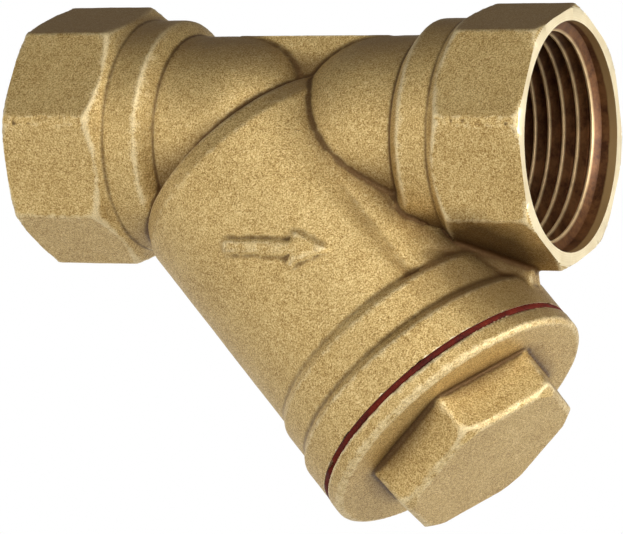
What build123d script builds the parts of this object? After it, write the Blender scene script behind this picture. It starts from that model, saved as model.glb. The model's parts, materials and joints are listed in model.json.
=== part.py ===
from build123d import *
import math
import os

# Sediment strainer for a three-quarter inch pipe, in millimetres.
# The run lies along X, with the inlet face at the origin and the outlet face at face_to_face.
# The branch leaves the run downwards and towards the outlet, in the XZ plane.
# Stations on the branch are distances along its axis from where that axis crosses the run's.

# overall layout
face_to_face = 66.5
branch_angle = 46.0
branch_crossing = 22.45

# threaded ends, with the stations of their steps measured from each end's own face
octagon_radius = 15.45
octagon_draft = 37.0
draft_length = 2.3
face_radius = 14.4
face_relief = 0.3
collar_radius = 13.65
collar_bevel = 0.8
inlet_steps = {"flats": 12.05, "collar": 17.75, "neck": 19.55}
outlet_steps = {"flats": 11.2, "collar": 16.55, "neck": 19.0}
thread_radius = 13.25
thread_depth = 12.3
thread_runout = 2.4

# domes, web and passages
dome_radius = 11.7
inlet_dome_centre = 25.05
outlet_dome_centre = 44.05
web_top = 11.8
web_top_half_width = 2.9
web_foot_half_width = 6.5
passage_radius = 9.7
inlet_cavity_centre = 23.25
inlet_cavity_radius = 9.3
outlet_cavity_centre = 46.25

# branch barrel, from its rounded shoulder to its mouth
shoulder_station = 3.6
shoulder_rounding = 3.0
barrel_radius_top = 15.7
barrel_radius_low = 15.8
ring_one_station = 34.2
ring_one_radius = 16.4
ring_two_station = 39.2
ring_two_radius = 17.2
mouth_station = 43.1
ring_slope = 1.0

# branch bores
screen_seat_station = 5.7
chamber_station = 8.2
chamber_radius = 13.0
gallery_radius = 9.1
mouth_thread_station = 34.4
mouth_thread_radius = 15.0

# gusset between the outlet end and the branch, as roofs across the barrel
roof_half_width = 11.4
roof_foot_share = 0.7
roof_start_station = 15.0
roof_end_station = 31.0
nose_station = 43.0
nose_half_width = 0.6
nose_cut = 62.95
gusset_foot = 5.0

# gasket, cap and screen
gasket_thickness = 0.7
gasket_radius = 17.25
running_clearance = 0.05
cap_flange_thickness = 2.3
cap_flange_radius = 17.3
cap_flange_bevel = 0.5
hex_radius = 12.8
hex_draft = 3.0
hex_height = 5.8
hex_corner = 0.9
hex_bevel = 0.5
hex_turn = -15.5
spigot_length = 8.5
spigot_chamfer = 0.8
screen_radius = 10.2
screen_wall = 0.6
seat_clearance = 0.08
end_float = 0.1
recess_depth = 8.3

slope = math.radians(branch_angle)
branch_direction = Vector(math.cos(slope), 0, -math.sin(slope))
run_plane = Plane.XZ
branch_plane = Plane(origin=(branch_crossing, 0, 0), x_dir=branch_direction, z_dir=(0, -1, 0))
branch_axis = Axis(branch_plane.origin, branch_direction)
seat_radius = screen_radius + seat_clearance


def turned(corners, plane):
    # a solid of revolution about the plane's own x axis; each corner is (station, radius, bevel)
    face = make_face(Polyline(*[(station, radius) for station, radius, _ in corners], close=True))
    for station, radius, bevel in corners:
        if bevel:
            corner = face.vertices().sort_by_distance((station, radius, 0))[0]
            face = chamfer(corner, bevel)
    return revolve(plane * face, Axis(plane.origin, plane.x_dir))


def across(plane, station):
    # the plane square to the branch at a station: local x is the run's Y, local y faces the outlet end
    return Plane(origin=plane.from_local_coords((station, 0, 0)), x_dir=(0, 1, 0), z_dir=plane.x_dir)


def bored(plane, start, end, radius):
    return turned([(start, 0, 0), (start, radius, 0), (end, radius, 0), (end, 0, 0)], plane)


def octagon_end(steps):
    # an octagonal prism with two corners level and two upright, relieved at the face and drafted behind
    outline = RegularPolygon(octagon_radius, 8)
    prism = extrude(Plane.YZ * outline, steps["flats"])
    draft = extrude(Plane.YZ.offset(steps["flats"]) * outline, draft_length, taper=octagon_draft)
    clear = 2 * octagon_radius
    slope_end = face_relief * (clear - face_radius) / (octagon_radius - face_radius)
    envelope = turned(
        [
            (0, 0, 0),
            (0, face_radius, 0),
            (slope_end, clear, 0),
            (steps["collar"], clear, 0),
            (steps["collar"], 0, 0),
        ],
        run_plane,
    )
    return (prism + draft) & envelope


def run_end(steps, dome_centre):
    # one end of the run, from its face at zero to the far side of its dome
    collar = turned(
        [
            (steps["flats"], 0, 0),
            (steps["flats"], collar_radius, 0),
            (steps["collar"], collar_radius, collar_bevel),
            (steps["neck"], dome_radius, 0),
            (dome_centre, dome_radius, 0),
            (dome_centre, 0, 0),
        ],
        run_plane,
    )
    dome = Pos(dome_centre, 0, 0) * Sphere(dome_radius)
    return octagon_end(steps) + collar + dome


def port(cavity_centre, cavity_radius):
    # the hollow of one end: plain bore at the thread's outer radius, cone, passage and rounded end
    bore = turned(
        [
            (0, 0, 0),
            (0, thread_radius, 0),
            (thread_depth, thread_radius, 0),
            (thread_depth + thread_runout, passage_radius, 0),
            (thread_depth + thread_runout, 0, 0),
        ],
        run_plane,
    )
    passage = bored(run_plane, thread_depth, cavity_centre, cavity_radius)
    return bore + passage + Pos(cavity_centre, 0, 0) * Sphere(cavity_radius)


def at_outlet(shape):
    # turns a shape drawn from the inlet face round to the outlet face
    return mirror(shape, Plane.YZ.offset(face_to_face / 2))


def web():
    # the flat-topped wall that joins the two domes, with drafted sides
    section = Polyline(
        (-web_foot_half_width, 0),
        (-web_top_half_width, web_top),
        (web_top_half_width, web_top),
        (web_foot_half_width, 0),
        close=True,
    )
    start = Plane.YZ.offset(inlet_dome_centre)
    return extrude(start * make_face(section), outlet_dome_centre - inlet_dome_centre)


def barrel():
    # the shoulder's round is two slopes between points on its arc
    half_way = shoulder_rounding * (1 - math.sqrt(0.5))
    return turned(
        [
            (shoulder_station, 0, 0),
            (shoulder_station, barrel_radius_top - shoulder_rounding, 0),
            (shoulder_station + half_way, barrel_radius_top - half_way, 0),
            (shoulder_station + shoulder_rounding, barrel_radius_top, 0),
            (ring_one_station - ring_slope, barrel_radius_low, 0),
            (ring_one_station, ring_one_radius, 0),
            (ring_two_station - ring_slope, ring_one_radius, 0),
            (ring_two_station, ring_two_radius, 0),
            (mouth_station, ring_two_radius, 0),
            (mouth_station, 0, 0),
        ],
        branch_plane,
    )


def roof(half_width, ridge, station):
    # the gusset's section: two faces at forty-five degrees to the barrel, meeting in a ridge
    eaves = ridge - half_width
    foot = half_width * roof_foot_share
    outline = Polyline(
        (-half_width, eaves),
        (0, ridge),
        (half_width, eaves),
        (foot, gusset_foot),
        (-foot, gusset_foot),
        close=True,
    )
    return across(branch_plane, station) * make_face(outline)


def gusset():
    ridge = barrel_radius_low * math.sqrt(2)
    nose_ridge = ring_two_radius + nose_half_width
    start = roof(roof_half_width, ridge, roof_start_station)
    end = roof(roof_half_width, ridge, roof_end_station)
    nose = roof(nose_half_width, nose_ridge, nose_station)
    fairing = loft([start, end]) + loft([end, nose], ruled=True)
    beyond = Pos(nose_cut + face_to_face / 2, 0, 0) * Box(face_to_face, face_to_face, 2 * face_to_face)
    return fairing - beyond


def body():
    outside = run_end(inlet_steps, inlet_dome_centre)
    outside += at_outlet(run_end(outlet_steps, face_to_face - outlet_dome_centre))
    outside += web()
    outside += barrel()
    outside += gusset()
    hollow = port(inlet_cavity_centre, inlet_cavity_radius)
    hollow += at_outlet(port(face_to_face - outlet_cavity_centre, passage_radius))
    hollow += bored(branch_plane, 0, screen_seat_station, gallery_radius)
    hollow += bored(branch_plane, screen_seat_station, chamber_station, seat_radius)
    hollow += bored(branch_plane, chamber_station, mouth_thread_station, chamber_radius)
    hollow += bored(branch_plane, mouth_thread_station, mouth_station, mouth_thread_radius)
    return outside - hollow


def gasket():
    end = mouth_station + gasket_thickness
    inner = mouth_thread_radius + running_clearance
    return bored(branch_plane, mouth_station, end, gasket_radius) - bored(
        branch_plane, mouth_station, end, inner
    )


def cap():
    # a round flange under a hexagonal head, with a hollow spigot that holds the screen's end
    flange_start = mouth_station + gasket_thickness
    flange_end = flange_start + cap_flange_thickness
    spigot_start = flange_start - spigot_length
    spigot_radius = mouth_thread_radius - running_clearance
    flange = turned(
        [
            (flange_start, 0, 0),
            (flange_start, cap_flange_radius, 0),
            (flange_end, cap_flange_radius, cap_flange_bevel),
            (flange_end, 0, 0),
        ],
        branch_plane,
    )
    spigot = turned(
        [
            (spigot_start, 0, 0),
            (spigot_start, spigot_radius - spigot_chamfer, 0),
            (spigot_start + spigot_chamfer, spigot_radius, 0),
            (flange_start, spigot_radius, 0),
            (flange_start, 0, 0),
        ],
        branch_plane,
    )
    hexagon = Rot(0, 0, hex_turn) * RegularPolygon(hex_radius, 6)
    head = extrude(across(branch_plane, flange_end) * hexagon, hex_height, taper=hex_draft)
    level = head.faces().sort_by(branch_axis)[0].edges() + head.faces().sort_by(branch_axis)[-1].edges()
    head = fillet(head.edges() - level, hex_corner)
    head = chamfer(head.faces().sort_by(branch_axis)[-1].edges(), hex_bevel)
    recess = bored(branch_plane, spigot_start, spigot_start + recess_depth, seat_radius)
    return flange + spigot + head - recess


def screen():
    # a rolled tube from its seat in the body to the bottom of the cap's recess
    start = screen_seat_station + end_float
    end = mouth_station + gasket_thickness - spigot_length + recess_depth - end_float
    return bored(branch_plane, start, end, screen_radius) - bored(
        branch_plane, start, end, screen_radius - screen_wall
    )


os.makedirs("parts", exist_ok=True)
for name, make in {"body": body, "gasket": gasket, "cap": cap, "screen": screen}.items():
    export_step(make(), f"parts/{name}.step")
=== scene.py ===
import json
import math

import bpy
import numpy
from mathutils import Matrix, Vector, kdtree, noise

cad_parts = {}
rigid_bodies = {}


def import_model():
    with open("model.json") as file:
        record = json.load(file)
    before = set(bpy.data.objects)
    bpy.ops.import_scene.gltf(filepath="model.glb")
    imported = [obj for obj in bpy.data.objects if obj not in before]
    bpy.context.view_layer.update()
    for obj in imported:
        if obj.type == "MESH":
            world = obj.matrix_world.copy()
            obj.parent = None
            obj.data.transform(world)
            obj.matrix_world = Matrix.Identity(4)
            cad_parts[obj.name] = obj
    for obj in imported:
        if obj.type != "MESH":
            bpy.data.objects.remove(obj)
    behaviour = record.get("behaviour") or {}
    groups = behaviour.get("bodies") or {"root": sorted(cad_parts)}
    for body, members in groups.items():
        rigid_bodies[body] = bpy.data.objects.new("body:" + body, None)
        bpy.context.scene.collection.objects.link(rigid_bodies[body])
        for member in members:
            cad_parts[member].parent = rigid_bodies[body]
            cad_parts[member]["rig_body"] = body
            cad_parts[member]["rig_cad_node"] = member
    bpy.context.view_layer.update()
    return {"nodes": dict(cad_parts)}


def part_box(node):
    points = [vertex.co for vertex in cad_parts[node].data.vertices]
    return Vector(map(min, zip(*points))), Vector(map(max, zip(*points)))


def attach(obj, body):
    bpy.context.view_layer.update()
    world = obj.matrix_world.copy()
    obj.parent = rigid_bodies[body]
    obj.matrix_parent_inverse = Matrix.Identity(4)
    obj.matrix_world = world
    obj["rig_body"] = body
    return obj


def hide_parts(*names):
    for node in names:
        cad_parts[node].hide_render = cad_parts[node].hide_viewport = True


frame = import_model()
print("frame loaded")

mm = 0.001
branchSlope = math.radians(46)
branchStart = Vector((22.45 * mm, 0, 0))  # where the branch's axis crosses the run's
alongBranch = Vector((math.cos(branchSlope), 0, -math.sin(branchSlope)))
outOfBranch = Vector((math.sin(branchSlope), 0, math.cos(branchSlope)))  # square to the branch, upwards
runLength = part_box("body")[1].x  # from face to face, the inlet face being at zero
boreRadius = 13.25 * mm
mouthStation = 43.1 * mm
mergeGap = 0.001 * mm  # loose corners of a solid that are nearer than this are one
castCrease = 40  # degrees, past which an edge of the castings stays sharp
cutCrease = 30  # the same for threads and sheet


# General tools
def onBranch(station):
    # the point of the branch's axis at a station
    return branchStart + alongBranch * station


def branchPlace(point):
    # a point's station on the branch and its distance from the branch's axis
    offset = point - branchStart
    station = offset.dot(alongBranch)
    return station, (offset - alongBranch * station).length


def depthFromFace(point):
    # how far a point lies behind the nearer end of the run
    return min(point.x, runLength - point.x)


def activate(piece):
    if bpy.context.mode != "OBJECT":
        bpy.ops.object.mode_set(mode="OBJECT")
    bpy.ops.object.select_all(action="DESELECT")
    piece.select_set(True)
    bpy.context.view_layer.objects.active = piece


def startEdit(piece):
    # enters edit mode with all of the piece selected
    activate(piece)
    bpy.ops.object.mode_set(mode="EDIT")
    bpy.ops.mesh.select_all(action="SELECT")


def endEdit():
    bpy.ops.object.mode_set(mode="OBJECT")


def settle(piece):
    # the object goes to the origin, and its place into its mesh
    activate(piece)
    bpy.ops.object.transform_apply(location=True, rotation=True, scale=True)


def modify(piece, kind, **settings):
    activate(piece)
    modifier = piece.modifiers.new(kind.title(), kind)
    for name, value in settings.items():
        setattr(modifier, name, value)
    bpy.ops.object.modifier_apply(modifier=modifier.name)


def copyNode(node, name):
    # a copy of a solid's mesh, with its loose triangles joined
    piece = frame["nodes"][node].copy()
    piece.data = frame["nodes"][node].data.copy()
    piece.name = name
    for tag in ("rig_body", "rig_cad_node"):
        if tag in piece:
            del piece[tag]
    piece.parent = None
    bpy.context.scene.collection.objects.link(piece)
    startEdit(piece)
    bpy.ops.mesh.remove_doubles(threshold=mergeGap)
    endEdit()
    piece.data.materials.clear()
    return piece


def selectFaces(piece, test):
    # leaves the piece in edit mode with the faces that pass the test selected
    activate(piece)
    bpy.ops.object.mode_set(mode="EDIT")
    bpy.ops.mesh.select_mode(type="FACE")
    bpy.ops.mesh.select_all(action="DESELECT")
    endEdit()
    for face in piece.data.polygons:
        face.select = bool(test(face.center, face.normal))
    bpy.ops.object.mode_set(mode="EDIT")


def trim(piece, point, outward):
    # cuts off what lies beyond a plane and closes the ring between the cut's two outlines
    startEdit(piece)
    bpy.ops.mesh.select_mode(type="VERT")
    bpy.ops.mesh.bisect(plane_co=point, plane_no=outward, use_fill=False, clear_outer=True)
    bpy.ops.mesh.select_mode(type="EDGE")
    bpy.ops.mesh.select_all(action="DESELECT")
    bpy.ops.mesh.select_non_manifold(extend=False, use_wire=False, use_multi_face=False, use_verts=False)
    bpy.ops.mesh.bridge_edge_loops()
    endEdit()


def smoothByAngle(piece, degrees):
    activate(piece)
    bpy.ops.object.shade_smooth_by_angle(angle=math.radians(degrees))


def finishPiece(piece, body, slot, *nodes):
    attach(piece, body)
    if nodes:
        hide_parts(*nodes)


def place(piece, origin, direction):
    # stands a piece that was made along Z on a point, along a direction
    turn = direction.to_track_quat("Z", "Y").to_matrix().to_4x4()
    piece.matrix_world = Matrix.Translation(origin) @ turn
    settle(piece)


def carve(piece, test, material):
    # gives the faces that pass the test another of the piece's materials
    selectFaces(piece, test)
    piece.active_material_index = material
    bpy.ops.object.material_slot_assign()
    endEdit()


def stretch(piece, test, shift):
    # draws the flat faces that pass the test out, so that a trim can leave their edges crisp
    selectFaces(piece, test)
    bpy.ops.mesh.extrude_region_move(TRANSFORM_OT_translate={"value": shift})
    endEdit()


def closeEnds(piece):
    startEdit(piece)
    bpy.ops.mesh.fill_holes(sides=0)
    bpy.ops.mesh.select_all(action="SELECT")
    bpy.ops.mesh.normals_make_consistent(inside=False)
    endEdit()


def markRelief(piece, name, rounds):
    # stores how far each vertex lies under its smoothed surroundings, in millimetres
    mesh = piece.data
    count = len(mesh.vertices)
    places = numpy.empty(count * 3)
    normals = numpy.empty(count * 3)
    ends = numpy.empty(len(mesh.edges) * 2, dtype=int)
    mesh.vertices.foreach_get("co", places)
    mesh.vertices.foreach_get("normal", normals)
    mesh.edges.foreach_get("vertices", ends)
    places, normals, ends = places.reshape(-1, 3), normals.reshape(-1, 3), ends.reshape(-1, 2)
    first, second = ends[:, 0], ends[:, 1]
    neighbours = numpy.bincount(ends.ravel(), minlength=count)
    smooth = places.copy()
    for _ in range(rounds):
        sums = []
        for axis in range(3):
            fromSecond = numpy.bincount(first, smooth[second, axis], count)
            fromFirst = numpy.bincount(second, smooth[first, axis], count)
            sums.append(fromSecond + fromFirst)
        smooth = numpy.stack(sums, 1) / neighbours[:, None]
    depth = ((smooth - places) * normals).sum(1) / mm
    mesh.attributes.new(name, "FLOAT", "POINT").data.foreach_set("value", depth)


# Materials
class Wire:
    # a socket that takes part in sums
    def __init__(self, finish, socket):
        self.finish = finish
        self.socket = socket

    def __add__(self, other):
        return self.finish.maths("ADD", self, other)

    def __radd__(self, other):
        return self.finish.maths("ADD", other, self)

    def __sub__(self, other):
        return self.finish.maths("SUBTRACT", self, other)

    def __rsub__(self, other):
        return self.finish.maths("SUBTRACT", other, self)

    def __mul__(self, other):
        return self.finish.maths("MULTIPLY", self, other)

    def __rmul__(self, other):
        return self.finish.maths("MULTIPLY", other, self)


class Finish:
    # a material whose nodes are added one by one
    def __init__(self, name):
        self.material = bpy.data.materials.new(name)
        self.material.use_nodes = True
        self.tree = self.material.node_tree
        self.shader = self.tree.nodes["Principled BSDF"]
        self.place = self.node("ShaderNodeTexCoord", output="Object")
        self.facing = self.node("ShaderNodeTexCoord", output="Normal")

    def node(self, kind, settings=None, inputs=None, output=0):
        made = self.tree.nodes.new(kind)
        for name, value in (settings or {}).items():
            if name == "stops":
                self.setStops(made, value)
            else:
                setattr(made, name, value)
        for name, value in (inputs or {}).items():
            self.feed(made.inputs[name], value)
        return Wire(self, made.outputs[output])

    def setStops(self, made, stops):
        ramp = made.color_ramp
        while len(ramp.elements) < len(stops):
            ramp.elements.new(0.5)
        for element, (position, colour) in zip(ramp.elements, stops):
            element.position = position
            element.color = (*colour, 1)

    def feed(self, socket, value):
        if isinstance(value, Wire):
            self.tree.links.new(value.socket, socket)
        elif hasattr(value, "__len__") and len(value) == 3 and socket.type == "RGBA":
            socket.default_value = (*value, 1)
        else:
            socket.default_value = value

    def set(self, **inputs):
        for name, value in inputs.items():
            self.feed(self.shader.inputs[name.replace("_", " ")], value)

    def maths(self, operation, *values):
        return self.node("ShaderNodeMath", {"operation": operation}, dict(enumerate(values)))

    def part(self, vector, axis):
        # one of the three numbers of a place or a direction
        return self.node("ShaderNodeSeparateXYZ", None, {"Vector": vector}, axis)

    def runRadius(self):
        # distance from the run's axis
        aside, height = self.part(self.place, "Y"), self.part(self.place, "Z")
        return self.maths("SQRT", aside * aside + height * height)

    def relief(self, name):
        # what markRelief stored
        return self.node("ShaderNodeAttribute", {"attribute_name": name}, output="Fac")

    def cloud(self, perMillimetre, detail=2.0, roughness=0.55):
        # soft noise with so many waves to the millimetre
        inputs = {"Vector": self.place, "Scale": perMillimetre / mm}
        inputs.update({"Detail": detail, "Roughness": roughness})
        return self.node("ShaderNodeTexNoise", None, inputs, "Fac")

    def cells(self, perMillimetre):
        # distance from scattered points, so many to the millimetre
        inputs = {"Vector": self.place, "Scale": perMillimetre / mm}
        return self.node("ShaderNodeTexVoronoi", {"feature": "F1"}, inputs, "Distance")

    def between(self, value, low, high, atLow=0.0, atHigh=1.0):
        # carries a value from one range to another and stops at the ends
        inputs = {"Value": value, "From Min": low, "From Max": high, "To Min": atLow, "To Max": atHigh}
        return self.node("ShaderNodeMapRange", {"clamp": True}, inputs)

    def blend(self, mask, first, second, way="MIX"):
        settings = {"data_type": "RGBA", "blend_type": way, "clamp_factor": True}
        return self.node("ShaderNodeMix", settings, {0: mask, 6: first, 7: second}, 2)

    def bump(self, height, depth, strength):
        # depth in millimetres
        inputs = {"Height": height, "Distance": depth * mm, "Strength": strength}
        return self.node("ShaderNodeBump", None, inputs)


def swing(value, reach):
    # noise from nought to one, turned to a swing about nought
    return (value - 0.5) * reach


# Waves and counts are to the millimetre, and a range is what a mask's nought and one stand for.
noiseRange = (0.3, 0.7)  # what a soft noise mostly keeps within

castBrassLook = {
    "pale": (0.80, 0.62, 0.30),
    "mid": (0.55, 0.375, 0.135),
    "dark": (0.26, 0.145, 0.035),
    "stops": (0.38, 0.5, 0.63),
    "grainWaves": 5.5,
    "blotchWaves": 1.1,
    "patchWaves": 0.14,
    # painted shade: faces that look up are darkened, as a dim sky leaves them
    "topShade": (0.230, 0.135, 0.055),
    "topShadeRange": (0.52, 0.85),  # how far the surface looks up
    "topShadeSwing": 0.3,
    "topShadeStrength": 0.75,
    "speckCount": 1.3,
    "speckRange": (0.16, 0.08),
    "speckBlotches": (0.5, 0.6),
    "speckStrength": 0.6,
    # dark brown for painted shade in wide hollows, and for dirt with painted shade in tight creases
    "dirtAndShade": (0.080, 0.033, 0.006),
    "wideShadeRange": (0.12, 0.9),  # millimetres under the wide surroundings
    "wideShadeStrength": 0.65,
    # dirt and painted shade in tight creases
    "creaseDirtAndShadeRange": (0.018, 0.07),  # millimetres under the near surroundings
    "creaseDirtAndShadeSwing": 0.05,
    "creaseDirtAndShadeStrength": 0.8,
    # rubbed edges: partly wear, partly painted highlight
    "edgeWearAndHighlight": (0.90, 0.77, 0.48),
    "edgeWearAndHighlightRange": (0.035, 0.10),  # millimetres above the near surroundings
    "edgeWearAndHighlightGrain": 0.10,
    "edgeWearAndHighlightBlotches": 0.12,
    "edgeWearAndHighlightStrength": 0.45,
    "octagonShade": (0.085, 0.045, 0.013),  # painted shade: the dark place under the outlet's octagon
    "octagonShadeMiddle": Vector((58.5, -5.5, -16)) * mm,
    "octagonShadeRadius": 9.5 * mm,
    "octagonShadeSwing": 6 * mm,
    "octagonShadeStrength": 0.85,
    "octagonShadeFacing": (0.5, -0.45),
    "octagonShadeFaint": 0.45,
    "roughness": 0.5,
    "roughnessSpread": 0.12,
    "metallic": 0.7,
    "bumpDepth": 0.07,
    "bumpStrength": 0.9,
}


def castBrass(name, look):
    # shot-blasted brass: sandy grain, painted shade on faces that look up, in hollows and under the outlet's
    # octagon, dirt with painted shade in the creases, and rubbed edges with painted highlights
    made = Finish(name)
    grain = made.cloud(look["grainWaves"], 3.0, 0.75)
    patches = made.cloud(look["patchWaves"], 3.0)
    blotches = made.cloud(look["blotchWaves"])
    specks = made.between(made.cells(look["speckCount"]), *look["speckRange"])
    fine, wide = made.relief("fine"), made.relief("wide")
    upward = made.part(made.facing, "Z")
    tint = made.node(
        "ShaderNodeValToRGB",
        {"stops": list(zip(look["stops"], (look["dark"], look["mid"], look["pale"])))},
        {"Fac": grain * 0.8 + blotches * 0.12 + patches * 0.08},
    )
    # painted shade: faces that look up are darkened
    shade = made.between(upward + swing(patches, look["topShadeSwing"]), *look["topShadeRange"])
    tint = made.blend(shade * look["topShadeStrength"], tint, look["topShade"])
    sparse = made.between(blotches, *look["speckBlotches"])
    tint = made.blend(specks * sparse * look["speckStrength"], tint, look["dark"])
    # painted shade in wide hollows
    tint = made.blend(made.between(wide, *look["wideShadeRange"]) * look["wideShadeStrength"], tint, look["dirtAndShade"])
    # painted shade under the outlet's octagon, strongest on faces that look down
    ends = {0: made.place, 1: look["octagonShadeMiddle"]}
    offset = made.node("ShaderNodeVectorMath", {"operation": "DISTANCE"}, ends, "Value")
    offset += swing(patches, look["octagonShadeSwing"])
    octagonShade = made.between(offset, look["octagonShadeRadius"], look["octagonShadeRadius"] * 0.6)
    downward = made.between(upward, *look["octagonShadeFacing"], look["octagonShadeFaint"], 1.0)
    tint = made.blend(octagonShade * downward * look["octagonShadeStrength"], tint, look["octagonShade"])
    # dirt and painted shade in tight creases
    creaseDirtAndShade = made.between(fine + swing(grain, look["creaseDirtAndShadeSwing"]), *look["creaseDirtAndShadeRange"])
    tint = made.blend(creaseDirtAndShade * look["creaseDirtAndShadeStrength"], tint, look["dirtAndShade"])
    # rubbed edges lightened: partly wear, partly painted highlight, kept off the faces in painted shade on
    # top
    raised = fine * -1 + swing(grain, look["edgeWearAndHighlightGrain"]) + swing(blotches, look["edgeWearAndHighlightBlotches"])
    rubbedAndLit = made.between(raised, *look["edgeWearAndHighlightRange"]) * (1 - shade * 0.8)
    tint = made.blend(rubbedAndLit * look["edgeWearAndHighlightStrength"], tint, look["edgeWearAndHighlight"])
    made.set(Base_Color=tint, Metallic=look["metallic"])
    middle, spread = look["roughness"], look["roughnessSpread"]
    made.set(Roughness=made.between(grain, *noiseRange, middle + spread, middle - spread))
    height = grain + blotches * 0.5 - specks * 0.2
    made.set(Normal=made.bump(height, look["bumpDepth"], look["bumpStrength"]))
    return made.material


machinedBrassLook = {
    "pale": (0.86, 0.75, 0.50),
    "mid": (0.72, 0.58, 0.33),
    "paleRange": (0.35, 0.65),
    "ringWaves": 9,
    "stainWaves": 0.3,
    "roughness": 0.35,
    "roughnessRise": 0.15,
    "metallic": 0.55,
    "bumpDepth": 0.01,
    "bumpStrength": 0.5,
}


def machinedBrass(name, look):
    # bright turned brass, with fine rings round the run's axis
    made = Finish(name)
    inputs = {"W": made.runRadius(), "Scale": look["ringWaves"] / mm, "Detail": 2.0}
    rings = made.node("ShaderNodeTexNoise", {"noise_dimensions": "1D"}, inputs)
    stains = made.cloud(look["stainWaves"], 3.0)
    mix = made.between(stains * 0.6 + rings * 0.4, *look["paleRange"])
    made.set(Base_Color=made.blend(mix, look["mid"], look["pale"]), Metallic=look["metallic"])
    rough = look["roughness"]
    made.set(Roughness=made.between(stains, *noiseRange, rough, rough + look["roughnessRise"]))
    made.set(Normal=made.bump(rings, look["bumpDepth"], look["bumpStrength"]))
    return made.material


boreBrassLook = {
    # painted shade: a dark copy of the brass for the bores' walls
    "boreShadeDark": (0.075, 0.026, 0.008),
    "boreShadeWarm": (0.210, 0.090, 0.030),
    "boreShadeRange": (0.38, 0.62),
    "stainWaves": 0.5,
    "grainWaves": 3.0,
    "crest": (0.70, 0.50, 0.26),
    "crestRadius": 12.12 * mm,
    "rootRadius": 12.4 * mm,
    "crestStains": (0.3, 0.55),
    "crestFaint": 0.65,
    "lip": (0.42, 0.27, 0.11),
    "lipDepth": 1.1 * mm,
    "lipSwing": 0.4 * mm,
    "roughness": 0.42,
    "roughnessDrop": 0.08,
    "roughnessRise": 0.1,
    "metallic": 0.5,
    "bumpDepth": 0.02,
    "bumpStrength": 0.5,
}


def boreBrass(name, look, crested):
    # walls darkened with painted shade of the bores; a port's thread has bright crests, partly wear and
    # partly painted highlight, and plain bores are paler at the end faces
    made = Finish(name)
    stains = made.cloud(look["stainWaves"], 3.0)
    grain = made.cloud(look["grainWaves"])
    mix = made.between(stains * 0.7 + grain * 0.3, *look["boreShadeRange"])
    tint = made.blend(mix, look["boreShadeDark"], look["boreShadeWarm"])
    # lighter crests: partly wear, partly painted highlight
    if crested:
        worn = made.between(made.runRadius(), look["rootRadius"], look["crestRadius"])
        worn *= made.between(stains, *look["crestStains"], look["crestFaint"], 1.0)
        tint = made.blend(worn, tint, look["crest"])
    else:
        along = made.part(made.place, "X")
        depth = made.maths("MINIMUM", along, along * -1 + runLength) + swing(stains, look["lipSwing"])
        lip = made.between(depth, look["lipDepth"], look["lipDepth"] * 0.8)
        tint = made.blend(lip, tint, look["lip"])
    made.set(Base_Color=tint, Metallic=look["metallic"])
    low, high = look["roughness"] - look["roughnessDrop"], look["roughness"] + look["roughnessRise"]
    made.set(Roughness=made.between(grain, *noiseRange, low, high))
    made.set(Normal=made.bump(grain, look["bumpDepth"], look["bumpStrength"]))
    return made.material


fibreLook = {
    "dark": (0.050, 0.004, 0.002),
    "red": (0.170, 0.018, 0.008),
    "redRange": (0.4, 0.6),
    "stainWaves": 0.35,
    "fibreWaves": 4.5,
    "dry": (0.36, 0.09, 0.05),
    "dryRange": (0.62, 0.74),
    "dryStrength": 0.5,
    "gloss": 0.15,
    "roughness": (0.55, 0.8),
    "roughnessRange": (0.35, 0.65),
    "bumpDepth": 0.05,
    "bumpStrength": 0.7,
}


def redFibre(name, look):
    # pressed fibre, darker where it is wet with oil and paler where it has frayed
    made = Finish(name)
    stains = made.cloud(look["stainWaves"])
    fibres = made.cloud(look["fibreWaves"], 3.0, 0.7)
    mix = made.between(stains * 0.6 + fibres * 0.4, *look["redRange"])
    tint = made.blend(mix, look["dark"], look["red"])
    dry = made.between(fibres, *look["dryRange"]) * look["dryStrength"]
    tint = made.blend(dry, tint, look["dry"])
    made.set(Base_Color=tint, Specular_IOR_Level=look["gloss"])
    made.set(Roughness=made.between(stains, *look["roughnessRange"], *look["roughness"]))
    made.set(Normal=made.bump(fibres, look["bumpDepth"], look["bumpStrength"]))
    return made.material


stainlessLook = {
    "pale": (0.66, 0.65, 0.62),
    "dull": (0.47, 0.45, 0.42),
    "paleRange": (0.38, 0.62),
    "markWaves": 0.25,
    "scratchWaves": 2.5,
    "roughness": 0.3,
    "roughnessDrop": 0.08,
    "roughnessRise": 0.12,
    "metallic": 0.9,
    "bumpDepth": 0.006,
    "bumpStrength": 0.5,
}


def stainless(name, look):
    # thin rolled sheet with a soft sheen and water marks
    made = Finish(name)
    marks = made.cloud(look["markWaves"], 4.0)
    scratches = made.cloud(look["scratchWaves"])
    mix = made.between(marks * 0.7 + scratches * 0.3, *look["paleRange"])
    made.set(Base_Color=made.blend(mix, look["dull"], look["pale"]), Metallic=look["metallic"])
    low, high = look["roughness"] - look["roughnessDrop"], look["roughness"] + look["roughnessRise"]
    made.set(Roughness=made.between(scratches, *noiseRange, low, high))
    made.set(Normal=made.bump(scratches, look["bumpDepth"], look["bumpStrength"]))
    return made.material


# Camera, floor and light
photographView = {
    "azimuth": 26.732,
    "elevation": -4.098,
    "roll": 3.028,
    "distance": 552.8 * mm,
    "aim": Vector((31.57, 0, -16.72)) * mm,
    "aside": -2.431 * mm,
    "above": -1.267 * mm,
    "focalPixels": 4724,
    "widePixels": 623,
    "sensor": 36,
    "near": 0.01,
    "far": 20,
}


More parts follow.
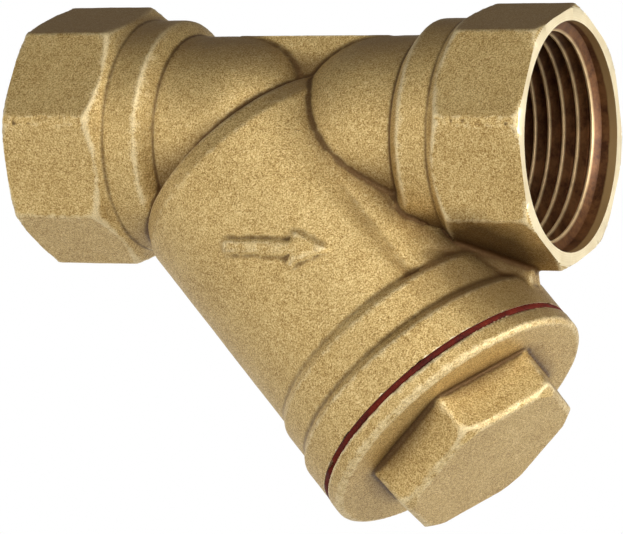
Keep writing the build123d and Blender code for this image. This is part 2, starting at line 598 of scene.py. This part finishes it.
def placeCamera(settings):
    azimuth, elevation, roll = (math.radians(settings[name]) for name in ("azimuth", "elevation", "roll"))
    back = Vector((
        math.sin(azimuth) * math.cos(elevation),
        -math.cos(azimuth) * math.cos(elevation),
        math.sin(elevation),
    ))
    right = Vector((math.cos(azimuth), math.sin(azimuth), 0))
    up = back.cross(right)
    tiltedRight = right * math.cos(roll) + up * math.sin(roll)
    tiltedUp = up * math.cos(roll) - right * math.sin(roll)
    data = bpy.data.cameras.new("camera")
    data.lens = settings["focalPixels"] / settings["widePixels"] * settings["sensor"]
    data.sensor_width = settings["sensor"]
    data.clip_start = settings["near"]
    data.clip_end = settings["far"]
    camera = bpy.data.objects.new("camera", data)
    bpy.context.scene.collection.objects.link(camera)
    spot = settings["aim"] + back * settings["distance"]
    spot -= tiltedRight * settings["aside"] + tiltedUp * settings["above"]
    turn = Matrix((tiltedRight, tiltedUp, back)).transposed()
    camera.matrix_world = Matrix.Translation(spot) @ turn.to_4x4()
    bpy.context.scene.camera = camera
    return back, tiltedRight, tiltedUp


def seenRays(tree):
    # one for what the camera sees straight, in a reflection or through glass, and nought for lighting
    rays = tree.nodes.new("ShaderNodeLightPath")
    seen = rays.outputs["Is Camera Ray"]
    for name in ("Is Glossy Ray", "Is Transmission Ray"):
        larger = tree.nodes.new("ShaderNodeMath")
        larger.operation = "MAXIMUM"
        tree.links.new(seen, larger.inputs[0])
        tree.links.new(rays.outputs[name], larger.inputs[1])
        seen = larger.outputs[0]
    return seen


floorLook = {
    "level": -78 * mm,
    "size": 6.0,
    "pale": (0.80, 0.80, 0.79),
    "shade": (0.74, 0.74, 0.73),
    "waves": 0.002,
    "roughness": 0.9,
    "white": 0.9,  # the rest shows the part's own shadow
}


def layFloor(settings):
    # white to the camera and in reflections, but for a little of the part's own shadow
    bpy.ops.mesh.primitive_plane_add(size=settings["size"], location=(0, 0, settings["level"]))
    floor = bpy.context.object
    floor.name = "studio_floor"
    settle(floor)
    made = Finish("studio_floor_white")
    tint = made.blend(made.cloud(settings["waves"]), settings["pale"], settings["shade"])
    made.set(Base_Color=tint, Roughness=settings["roughness"])
    seen = Wire(made, seenRays(made.tree)) * settings["white"]
    plain = Wire(made, made.shader.outputs[0])
    glow = made.node("ShaderNodeEmission", None, {"Color": (1, 1, 1), "Strength": 1.0})
    surface = made.node("ShaderNodeMixShader", None, {0: seen, 1: plain, 2: glow})
    made.feed(made.tree.nodes["Material Output"].inputs["Surface"], surface)
    floor.data.materials.append(made.material)


partMiddle = Vector((33, 0, -14)) * mm

lamps = {
    "key": {"from": (0.10, 0.55, 1.0), "distance": 0.75, "size": 0.40, "power": 3.3},
    "right": {"from": (1.0, -0.05, 0.35), "distance": 0.6, "size": 0.30, "power": 3.2},
    "low": {"from": (0.35, -0.75, 0.75), "distance": 0.6, "size": 0.40, "power": 2.2},
    "left": {"from": (-1.0, 0.0, 0.45), "distance": 0.7, "size": 0.30, "power": 1.0},
}


def hangLamps(settings, back, right, up):
    # each lamp stands off the middle of the part, by amounts to the right, up and towards the camera
    for name, lamp in settings.items():
        side, height, front = lamp["from"]
        direction = (right * side + up * height + back * front).normalized()
        data = bpy.data.lights.new(f"lamp_{name}", "AREA")
        data.size = lamp["size"]
        data.energy = lamp["power"]
        light = bpy.data.objects.new(f"lamp_{name}", data)
        bpy.context.scene.collection.objects.link(light)
        light.location = partMiddle + direction * lamp["distance"]
        light.rotation_euler = direction.to_track_quat("Z", "Y").to_euler()


worldLook = {"dim": 0.16, "whiteBelow": 0.22, "dimAbove": 0.42}


def lightWorld(settings):
    # white near the horizon to the camera and in reflections, and dim everywhere else
    world = bpy.data.worlds.new("studio")
    world.use_nodes = True
    bpy.context.scene.world = world
    nodes, links = world.node_tree.nodes, world.node_tree.links
    nodes.clear()
    direction = nodes.new("ShaderNodeTexCoord")
    parts = nodes.new("ShaderNodeSeparateXYZ")
    links.new(direction.outputs["Generated"], parts.inputs[0])
    fade = nodes.new("ShaderNodeMapRange")
    fade.interpolation_type = "SMOOTHSTEP"
    fade.inputs["From Min"].default_value = settings["whiteBelow"]
    fade.inputs["From Max"].default_value = settings["dimAbove"]
    fade.inputs["To Min"].default_value = 1.0
    fade.inputs["To Max"].default_value = settings["dim"]
    links.new(parts.outputs["Z"], fade.inputs["Value"])
    backdrop = nodes.new("ShaderNodeBackground")
    links.new(fade.outputs[0], backdrop.inputs["Strength"])
    plain = nodes.new("ShaderNodeBackground")
    plain.inputs["Strength"].default_value = settings["dim"]
    for background in (backdrop, plain):
        background.inputs["Color"].default_value = (1, 1, 1, 1)
    both = nodes.new("ShaderNodeMixShader")
    links.new(seenRays(world.node_tree), both.inputs[0])
    links.new(plain.outputs[0], both.inputs[1])
    links.new(backdrop.outputs[0], both.inputs[2])
    output = nodes.new("ShaderNodeOutputWorld")
    links.new(both.outputs[0], output.inputs["Surface"])


towardsCamera, cameraRight, cameraUp = placeCamera(photographView)
layFloor(floorLook)
hangLamps(lamps, towardsCamera, cameraRight, cameraUp)
lightWorld(worldLook)
bpy.context.scene.view_settings.view_transform = "Standard"
print("camera, floor and light in place")


# The casting
castingShape = {
    "voxel": 0.30 * mm,
    "pushOut": 1.6 * mm,  # the cut faces go out by this before the remesh, and are trimmed back after it
    "band": 0.01 * mm,
    "facing": 0.99,
    "faceBand": 0.08 * mm,
    "smoothing": 2,
    "ripple": 0.022 * mm,
    "fineRounds": 5,
    "wideRounds": 260,
    "triangles": 190000,
    "walls": {  # where each bore is looked for: how far along it, and within which radius
        "portDepth": 14.8 * mm,
        "portRadius": 13.45 * mm,
        "chamberStart": 8 * mm,
        "chamberRadius": 13.4 * mm,
        "mouthStart": 33.5 * mm,
        "mouthRadius": 15.3 * mm,
        "mouthFaceRadius": 14.5 * mm,
        "passageRadius": 10.8 * mm,
        "passageFacing": 0.3,
    },
    "inletEnd": {
        "face": 0,
        "inwards": 1,
        "flats": 12.05 * mm,
        "collar": 17.75 * mm,
        "coneLevel": -20 * mm,
        "neckLevel": -8 * mm,
    },
    "outletEnd": {
        "face": runLength,
        "inwards": -1,
        "flats": 11.2 * mm,
        "collar": 16.55 * mm,
        "coneLevel": -12.5 * mm,
        "neckLevel": -8 * mm,
    },
    "runEnds": {  # outlines are pairs of millimetres, how far behind the flats or the collar and the radius
        "cone": ((-1.1, 15.6), (0, 14.25), (0.8, 13.65)),
        "neck": ((-0.8, 13.65), (0, 12.85), (0.8, 11.8), (2.6, 11.7)),
        "cornerLevel": -20 * mm,  # what lies under such a level is left as it is
        "fade": 1.5 * mm,
        "reach": 15.7 * mm,
        "barrelStation": 3.4 * mm,
        "barrelRadius": 16.2 * mm,
    },
    "partingLine": {
        "reach": 15.25 * mm,
        "corner": 15 * mm,
        "halfHeight": 2 * mm,
        "depth": 12.5 * mm,
        "pits": 0.35 * mm,
        "pitWaves": 1500,
    },
    "groove": {
        "depth": 0.35 * mm,
        "angle": 41,
        "spread": 4.5,
        "span": (16 * mm, 33.5 * mm),
        "fade": 6 * mm,
        "radii": (15 * mm, 18 * mm),
    },
    "web": {"top": 11.45 * mm, "span": (24 * mm, 45 * mm)},
    "arrow": {
        "start": 30.5 * mm,
        "neck": 39.5 * mm,
        "tip": 43.5 * mm,
        "level": -14.5 * mm,
        "shaft": 0.6 * mm,
        "head": 1.9 * mm,
        "radius": 16.12 * mm,
        "innerRadius": 14.3 * mm,
        "halfDepth": 18 * mm,
        "barrelMiddle": 15 * mm,
        "barrelLength": 60 * mm,
        "barrelSides": 256,
    },
}


def isInside(point, normal):
    # true on the walls of the bores and passages
    walls = castingShape["walls"]
    station, radius = branchPlace(point)
    fromRun = math.hypot(point.y, point.z)
    outward = point.y * normal.y + point.z * normal.z
    inPort = depthFromFace(point) < walls["portDepth"] and fromRun < walls["portRadius"]
    inChamber = station > walls["chamberStart"] and radius < walls["chamberRadius"]
    inMouth = station > walls["mouthStart"] and radius < walls["mouthRadius"]
    inPassage = fromRun < walls["passageRadius"] and outward < walls["passageFacing"] * fromRun
    return inPort or inChamber or inMouth or inPassage


def isFace(point):
    # true on the three flat faces that were cut after casting
    station, radius = branchPlace(point)
    onEnd = depthFromFace(point) < castingShape["faceBand"]
    onMouth = station > mouthStation - castingShape["faceBand"]
    return onEnd or (onMouth and radius > castingShape["walls"]["mouthFaceRadius"])


def makeArrow(shape):
    # a plain flow arrow on each side of the barrel, a little proud of it and ending within its wall
    bpy.ops.mesh.primitive_circle_add(vertices=7, radius=mm, fill_type="NGON")
    arrow = bpy.context.object
    start, neck, tip = shape["start"], shape["neck"], shape["tip"]
    shaft, head = shape["shaft"], shape["head"]
    corners = [
        (tip, 0), (neck, head), (neck, shaft), (start, shaft), (start, -shaft), (neck, -shaft), (neck, -head),
    ]
    for vertex, (along, height) in zip(arrow.data.vertices, corners):
        vertex.co = (along, -shape["halfDepth"], shape["level"] + height)
    startEdit(arrow)
    bpy.ops.mesh.extrude_region_move(TRANSFORM_OT_translate={"value": (0, 2 * shape["halfDepth"], 0)})
    bpy.ops.mesh.select_all(action="SELECT")
    bpy.ops.mesh.normals_make_consistent(inside=False)
    endEdit()
    for operation, radius in (("INTERSECT", shape["radius"]), ("DIFFERENCE", shape["innerRadius"])):
        bpy.ops.mesh.primitive_cylinder_add(
            vertices=shape["barrelSides"], radius=radius, depth=shape["barrelLength"]
        )
        barrel = bpy.context.object
        place(barrel, onBranch(shape["barrelMiddle"]), alongBranch)
        modify(arrow, "BOOLEAN", operation=operation, object=barrel)
        bpy.data.objects.remove(barrel)
    return arrow


def shapeRunEnds(piece, skin, shape, *ends):
    # turns the octagons' back corners to a cone and steepens the collars' rear faces, but not on the branch
    for end in ends:
        outline = [(end["flats"] + behind * mm, radius * mm) for behind, radius in shape["cone"]]
        outline += [(end["collar"] + behind * mm, radius * mm) for behind, radius in shape["neck"]]
        depths, radii = zip(*outline)
        coneStart, neckStart = depths[1], depths[len(shape["cone"])]
        for index in skin:
            point = piece.data.vertices[index].co
            depth = (point.x - end["face"]) * end["inwards"]
            radius = math.hypot(point.y, point.z)
            if not depths[0] < depth < depths[-1] or radius > shape["reach"]:
                continue
            station, fromBranch = branchPlace(point)
            least = float(numpy.interp(depth, depths, radii))
            level = shape["cornerLevel"]
            if depth > neckStart:
                level = end["neckLevel"]
            elif depth > coneStart:
                level = end["coneLevel"]
            share = min(1.0, max(0.0, (point.z - level) / shape["fade"] + 1))
            if radius > least and (station < shape["barrelStation"] or fromBranch > shape["barrelRadius"]):
                share *= 1 - least / radius
                point.y *= 1 - share
                point.z *= 1 - share


def flattenPartingLine(piece, skin, shape):
    # the level corners of the octagons, ground flat where the casting's halves met, with small pits
    for index in skin:
        point = piece.data.vertices[index].co
        onOctagon = depthFromFace(point) < shape["depth"] and abs(point.z) < shape["halfHeight"]
        if onOctagon and abs(point.y) > shape["corner"]:
            pits = max(0.0, noise.noise(point * shape["pitWaves"])) * shape["pits"]
            point.y = math.copysign(min(abs(point.y), shape["reach"] - pits), point.y)


def grooveGusset(piece, skin, shape):
    # the hollow where the gusset's sides leave the barrel
    start, end = shape["span"]
    inner, outer = shape["radii"]
    for index in skin:
        point = piece.data.vertices[index].co
        station, radius = branchPlace(point)
        if start < station < end and inner < radius < outer:
            offset = point - onBranch(station)
            angle = math.degrees(math.atan2(offset.dot(outOfBranch), abs(offset.y)))
            nearness = math.exp(-((angle - shape["angle"]) / shape["spread"]) ** 2)
            fade = min(1.0, (station - start) / shape["fade"])
            point -= offset.normalized() * nearness * fade * shape["depth"]


def lowerWeb(piece, skin, shape):
    # the flat top of the web between the domes, ground a little lower
    start, end = shape["span"]
    for index in skin:
        point = piece.data.vertices[index].co
        if start < point.x < end:
            point.z = min(point.z, shape["top"])


castSwells = ((260, 1.0), (700, 0.6), (1700, 0.5))  # waves to the metre, and the height of each


def roughen(piece, skin, depth):
    # the uneven skin of a sand casting
    normals = [piece.data.vertices[index].normal.copy() for index in skin]
    for index, normal in zip(skin, normals):
        point = piece.data.vertices[index].co
        swell = sum(height * noise.noise(point * waves) for waves, height in castSwells)
        point += normal * swell * depth


def thinOut(piece, triangles, names):
    # fewer triangles, with the relief values taken again from the nearest of the old vertices
    tree = kdtree.KDTree(len(piece.data.vertices))
    for vertex in piece.data.vertices:
        tree.insert(vertex.co, vertex.index)
    tree.balance()
    old = {}
    for name in names:
        old[name] = numpy.empty(len(piece.data.vertices))
        piece.data.attributes[name].data.foreach_get("value", old[name])
        piece.data.attributes.remove(piece.data.attributes[name])
    piece.data.calc_loop_triangles()
    modify(piece, "DECIMATE", ratio=min(1.0, triangles / len(piece.data.loop_triangles)))
    nearest = [tree.find(vertex.co)[1] for vertex in piece.data.vertices]
    for name in names:
        values = piece.data.attributes.new(name, "FLOAT", "POINT")
        values.data.foreach_set("value", old[name][nearest])


def squareFaces(piece, band):
    # brings what lies within a hair of the three cut faces back on to them
    for vertex in piece.data.vertices:
        point = vertex.co
        over = branchPlace(point)[0] - mouthStation
        if point.x < band:
            point.x = 0
        elif point.x > runLength - band:
            point.x = runLength
        elif over > -band:
            point -= alongBranch * over


def makeCasting(settings):
    casting = copyNode("body", "cast_body")
    band, out, facing = settings["band"], settings["pushOut"], settings["facing"]
    stretch(casting, lambda point, normal: point.x < band, (-out, 0, 0))
    stretch(casting, lambda point, normal: point.x > runLength - band, (out, 0, 0))

    def onMouth(point, normal):
        return normal.dot(alongBranch) > facing and branchPlace(point)[0] > mouthStation - band

    stretch(casting, onMouth, alongBranch * out)
    arrow = makeArrow(settings["arrow"])
    activate(casting)
    arrow.select_set(True)
    bpy.ops.object.join()
    modify(casting, "REMESH", mode="VOXEL", voxel_size=settings["voxel"], use_smooth_shade=True)
    skin = [v.index for v in casting.data.vertices if not isInside(v.co, v.normal)]
    shapeRunEnds(casting, skin, settings["runEnds"], settings["inletEnd"], settings["outletEnd"])
    flattenPartingLine(casting, skin, settings["partingLine"])
    grooveGusset(casting, skin, settings["groove"])
    lowerWeb(casting, skin, settings["web"])
    group = casting.vertex_groups.new(name="skin")
    group.add(skin, 1.0, "REPLACE")
    modify(casting, "SMOOTH", factor=0.5, iterations=settings["smoothing"], vertex_group="skin")
    roughen(casting, skin, settings["ripple"])
    markRelief(casting, "fine", settings["fineRounds"])
    markRelief(casting, "wide", settings["wideRounds"])
    trim(casting, (0, 0, 0), (-1, 0, 0))
    trim(casting, (runLength, 0, 0), (1, 0, 0))
    trim(casting, onBranch(mouthStation), alongBranch)
    thinOut(casting, settings["triangles"], ("fine", "wide"))
    squareFaces(casting, settings["faceBand"])
    return casting


casting = makeCasting(castingShape)
print("casting has", len(casting.data.polygons), "faces")
casting.data.materials.append(castBrass("cast_brass", castBrassLook))
casting.data.materials.append(machinedBrass("machined_brass", machinedBrassLook))
casting.data.materials.append(boreBrass("bore_brass", boreBrassLook, False))
carve(casting, lambda point, normal: isFace(point), 1)
carve(casting, lambda point, normal: isInside(point, normal) and not isFace(point), 2)
smoothByAngle(casting, castCrease)
finishPiece(casting, "casting", "cast_brass", "body")
print("casting done")


# Threads
pipeThread = {
    "pitch": 1.814 * mm,
    "root": 13.42 * mm,
    "crest": 12.06 * mm,
    "rootHalf": 0.89 * mm,
    "crestHalf": 0.09 * mm,
    "bury": 0.15 * mm,  # how far the ridge's middle goes into the wall
    "turns": 6,
    "steps": 96,
    "counterbore": 1.0 * mm,
    "leadSlope": 1.0,
}

mouthThread = {
    "start": 34.9 * mm,
    "pitch": 1.5 * mm,
    "root": 15.12 * mm,
    "crest": 14.12 * mm,
    "rootHalf": 0.64 * mm,
    "crestHalf": 0.12 * mm,
    "bury": 0.15 * mm,
    "turns": 5,
    "steps": 96,
}

capThread = dict(mouthThread, start=37.15 * mm, root=13.90 * mm, crest=14.90 * mm, bury=-0.15 * mm, turns=4)


def makeThread(name, shape):
    # a ridge wound along Z from a closed profile, right-handed
    bpy.ops.mesh.primitive_circle_add(vertices=5, radius=mm, fill_type="NOTHING")
    thread = bpy.context.object
    thread.name = name
    root, rootHalf = shape["root"], shape["rootHalf"]
    crest, crestHalf = shape["crest"], shape["crestHalf"]
    corners = [
        (root, -rootHalf), (crest, -crestHalf), (crest, crestHalf), (root, rootHalf),
        (root + shape["bury"], 0),
    ]
    for vertex, (radius, along) in zip(thread.data.vertices, corners):
        vertex.co = (radius, 0, along)
    modify(
        thread, "SCREW", screw_offset=shape["pitch"], iterations=shape["turns"],
        steps=shape["steps"], render_steps=shape["steps"], use_smooth_shade=True,
    )
    closeEnds(thread)
    smoothByAngle(thread, cutCrease)
    return thread


def leadIn(thread, start, slope):
    # turns the first crests down to a cone, as the tap leaves them
    for vertex in thread.data.vertices:
        radius = math.hypot(vertex.co.x, vertex.co.y)
        least = boreRadius - max(0.0, vertex.co.z - start) * slope
        if radius < least:
            vertex.co.x *= least / radius
            vertex.co.y *= least / radius


portCrests = boreBrass("thread_brass", boreBrassLook, True)
for name, face, inwards in (
    ("inlet_thread", Vector((0, 0, 0)), Vector((1, 0, 0))),
    ("outlet_thread", Vector((runLength, 0, 0)), Vector((-1, 0, 0))),
):
    thread = makeThread(name, pipeThread)
    for vertex in thread.data.vertices:
        vertex.co.z += pipeThread["counterbore"] + pipeThread["rootHalf"]
    leadIn(thread, pipeThread["counterbore"], pipeThread["leadSlope"])
    place(thread, face, inwards)
    thread.data.materials.append(portCrests)
    finishPiece(thread, "casting", "cast_brass")

thread = makeThread("mouth_thread", mouthThread)
place(thread, onBranch(mouthThread["start"]), alongBranch)
thread.data.materials.append(machinedBrass("cut_brass", machinedBrassLook))
finishPiece(thread, "casting", "cast_brass")
print("threads done")


# The cap
capShape = {
    "voxel": 0.25 * mm,
    "smoothing": 2,
    "ripple": 0.022 * mm,
    "endStation": 51.9 * mm,
    "endRadius": 11.0 * mm,
    "endSlope": 1.6,
    "triangles": 150000,
    "spigotRadius": 15.05 * mm,  # just outside its wall
    "coreRadius": 14.0 * mm,
    "spigotEnd": 43.9 * mm,
    "skinStart": 44.0 * mm,
    "fineRounds": 6,
    "wideRounds": 260,
}


def makeCap(settings):
    # the spigot's wall goes in to the thread's core, and a cone takes off the hexagon's outer corners
    cap = copyNode("cap", "screw_cap_head")
    for vertex in cap.data.vertices:
        station, radius = branchPlace(vertex.co)
        if settings["coreRadius"] < radius < settings["spigotRadius"] and station < settings["spigotEnd"]:
            axis = onBranch(station)
            vertex.co = axis + (vertex.co - axis) * settings["coreRadius"] / radius
    modify(cap, "REMESH", mode="VOXEL", voxel_size=settings["voxel"], use_smooth_shade=True)
    for vertex in cap.data.vertices:
        station, radius = branchPlace(vertex.co)
        least = settings["endRadius"] + (settings["endStation"] - station) * settings["endSlope"]
        if radius > least > 0:
            axis = onBranch(station)
            vertex.co = axis + (vertex.co - axis) * least / radius
    modify(cap, "SMOOTH", factor=0.5, iterations=settings["smoothing"])
    outside = [v.index for v in cap.data.vertices if branchPlace(v.co)[0] > settings["skinStart"]]
    roughen(cap, outside, settings["ripple"])
    markRelief(cap, "fine", settings["fineRounds"])
    markRelief(cap, "wide", settings["wideRounds"])
    thinOut(cap, settings["triangles"], ("fine", "wide"))
    return cap


cap = makeCap(capShape)
print("cap has", len(cap.data.polygons), "faces")
cap.data.materials.append(castBrass("forged_brass", castBrassLook))
cap.data.materials.append(machinedBrass("spigot_brass", machinedBrassLook))
carve(cap, lambda point, normal: branchPlace(point)[0] < capShape["spigotEnd"], 1)
smoothByAngle(cap, castCrease)
finishPiece(cap, "screw_cap", "cap_brass", "cap")

thread = makeThread("cap_thread", capThread)
place(thread, onBranch(capThread["start"]), alongBranch)
thread.data.materials.append(machinedBrass("cap_thread_brass", machinedBrassLook))
finishPiece(thread, "screw_cap", "cap_brass")
print("cap done")


# The gasket
gasketShape = {
    "voxel": 0.16 * mm,
    "smoothing": 2,
    "rim": 16.6 * mm,
    "radius": 17.25 * mm,
    "wander": 0.10 * mm,
    "wanderScale": 9,
    "nickAngle": -41.0,
    "nickWidth": 2.6,
    "nickDepth": 0.55 * mm,
}


def makeGasket(settings):
    # a flat ring whose outer edge wanders a little and is torn at one place
    ring = copyNode("gasket", "fibre_gasket")
    modify(ring, "REMESH", mode="VOXEL", voxel_size=settings["voxel"], use_smooth_shade=True)
    modify(ring, "SMOOTH", factor=0.5, iterations=settings["smoothing"])
    rim, width = settings["rim"], settings["radius"] - settings["rim"]
    for vertex in ring.data.vertices:
        station, radius = branchPlace(vertex.co)
        if radius > rim:
            ray = (vertex.co - onBranch(station)).normalized()
            angle = math.degrees(math.atan2(ray.dot(outOfBranch), -ray.y))
            tear = math.exp(-((angle - settings["nickAngle"]) / settings["nickWidth"]) ** 2)
            worn = settings["wander"] * (0.5 + noise.noise(ray * settings["wanderScale"]))
            vertex.co -= ray * (worn + settings["nickDepth"] * tear) * (radius - rim) / width
    return ring


gasket = makeGasket(gasketShape)
print("gasket has", len(gasket.data.polygons), "faces")
gasket.data.materials.append(redFibre("red_fibre", fibreLook))
finishPiece(gasket, "gasket_ring", "red_fibre", "gasket")
print("gasket done")


# The screen
screenShape = {
    "radius": 10.2 * mm,
    "wall": 0.6 * mm,
    "sheet": 0.54 * mm,  # a little under the wall, so that the bands lie over it
    "start": 5.8 * mm,
    "end": 43.5 * mm,
    "around": 42,
    "rowPairs": 12,
    "hole": 0.52 * mm,
    "mergeGap": 0.02 * mm,
    "bandSides": 120,
    "bandLap": 1.2 * mm,
    "seamAngle": 9,
}


def makeSheet(settings):
    # hexagonal cells with round holes, in staggered rows, rolled into a tube along Z
    middle = settings["radius"] - settings["wall"] / 2
    width = 2 * math.pi * middle / settings["around"]
    corner = width / math.sqrt(3)
    twelfth = math.radians(30)
    bpy.ops.mesh.primitive_circle_add(vertices=12, radius=corner, fill_type="NGON")
    sheet = bpy.context.object
    sheet.name = "perforated_screen"
    startEdit(sheet)
    bpy.ops.mesh.inset(thickness=corner - settings["hole"])
    bpy.ops.mesh.delete(type="ONLY_FACE")
    endEdit()
    for vertex in sheet.data.vertices:
        angle = math.atan2(vertex.co.x, vertex.co.y)
        onCorner = round(angle / twelfth) % 2 == 0
        size = settings["hole"]
        if vertex.co.length > corner * 0.8:
            size = corner if onCorner else corner * math.cos(twelfth)
        vertex.co = Vector((math.sin(angle), math.cos(angle), 0)) * size
    startEdit(sheet)
    bpy.ops.mesh.duplicate_move(TRANSFORM_OT_translate={"value": (width / 2, corner * 1.5, 0)})
    endEdit()
    for count, offset in ((settings["around"], (width, 0, 0)), (settings["rowPairs"], (0, corner * 3, 0))):
        modify(
            sheet, "ARRAY", count=count, use_relative_offset=False, use_constant_offset=True,
            constant_offset_displace=offset, use_merge_vertices=True, merge_threshold=settings["mergeGap"],
        )
    rise = (settings["end"] - settings["start"] - corner * 3 * settings["rowPairs"]) / 2
    for vertex in sheet.data.vertices:
        turn = vertex.co.x / middle
        vertex.co = (middle * math.cos(turn), middle * math.sin(turn), vertex.co.y + rise + corner)
    startEdit(sheet)
    bpy.ops.mesh.remove_doubles(threshold=settings["mergeGap"])
    bpy.ops.mesh.normals_make_consistent(inside=False)
    endEdit()
    modify(sheet, "SOLIDIFY", thickness=settings["sheet"], offset=0)
    return sheet


def makeBand(settings, start, end, spread):
    # a plain strip of the tube between two heights, over an angle to each side
    bpy.ops.mesh.primitive_cylinder_add(
        vertices=settings["bandSides"], radius=settings["radius"], depth=end - start, end_fill_type="NOTHING"
    )
    band = bpy.context.object
    for vertex in band.data.vertices:
        vertex.co.z += (start + end) / 2
    if spread < 180:
        widest = math.radians(spread)
        selectFaces(band, lambda point, normal: abs(math.atan2(point.y, point.x)) > widest)
        bpy.ops.mesh.delete(type="FACE")
        endEdit()
    modify(band, "SOLIDIFY", thickness=settings["wall"], offset=-1)
    return band


def makeScreen(settings):
    length = settings["end"] - settings["start"]
    screen = makeSheet(settings)
    bandWidth = (length - screen.dimensions.z) / 2 + settings["bandLap"]
    bands = [
        makeBand(settings, 0, bandWidth, 180),
        makeBand(settings, length - bandWidth, length, 180),
        makeBand(settings, 0, length, settings["seamAngle"]),
    ]
    activate(screen)
    for band in bands:
        band.select_set(True)
    bpy.ops.object.join()
    place(screen, onBranch(settings["start"]), alongBranch)
    return screen


screen = makeScreen(screenShape)
print("screen has", len(screen.data.polygons), "faces")
screen.data.materials.append(stainless("stainless", stainlessLook))
smoothByAngle(screen, cutCrease)
finishPiece(screen, "strainer_screen", "stainless", "screen")
print("screen done")
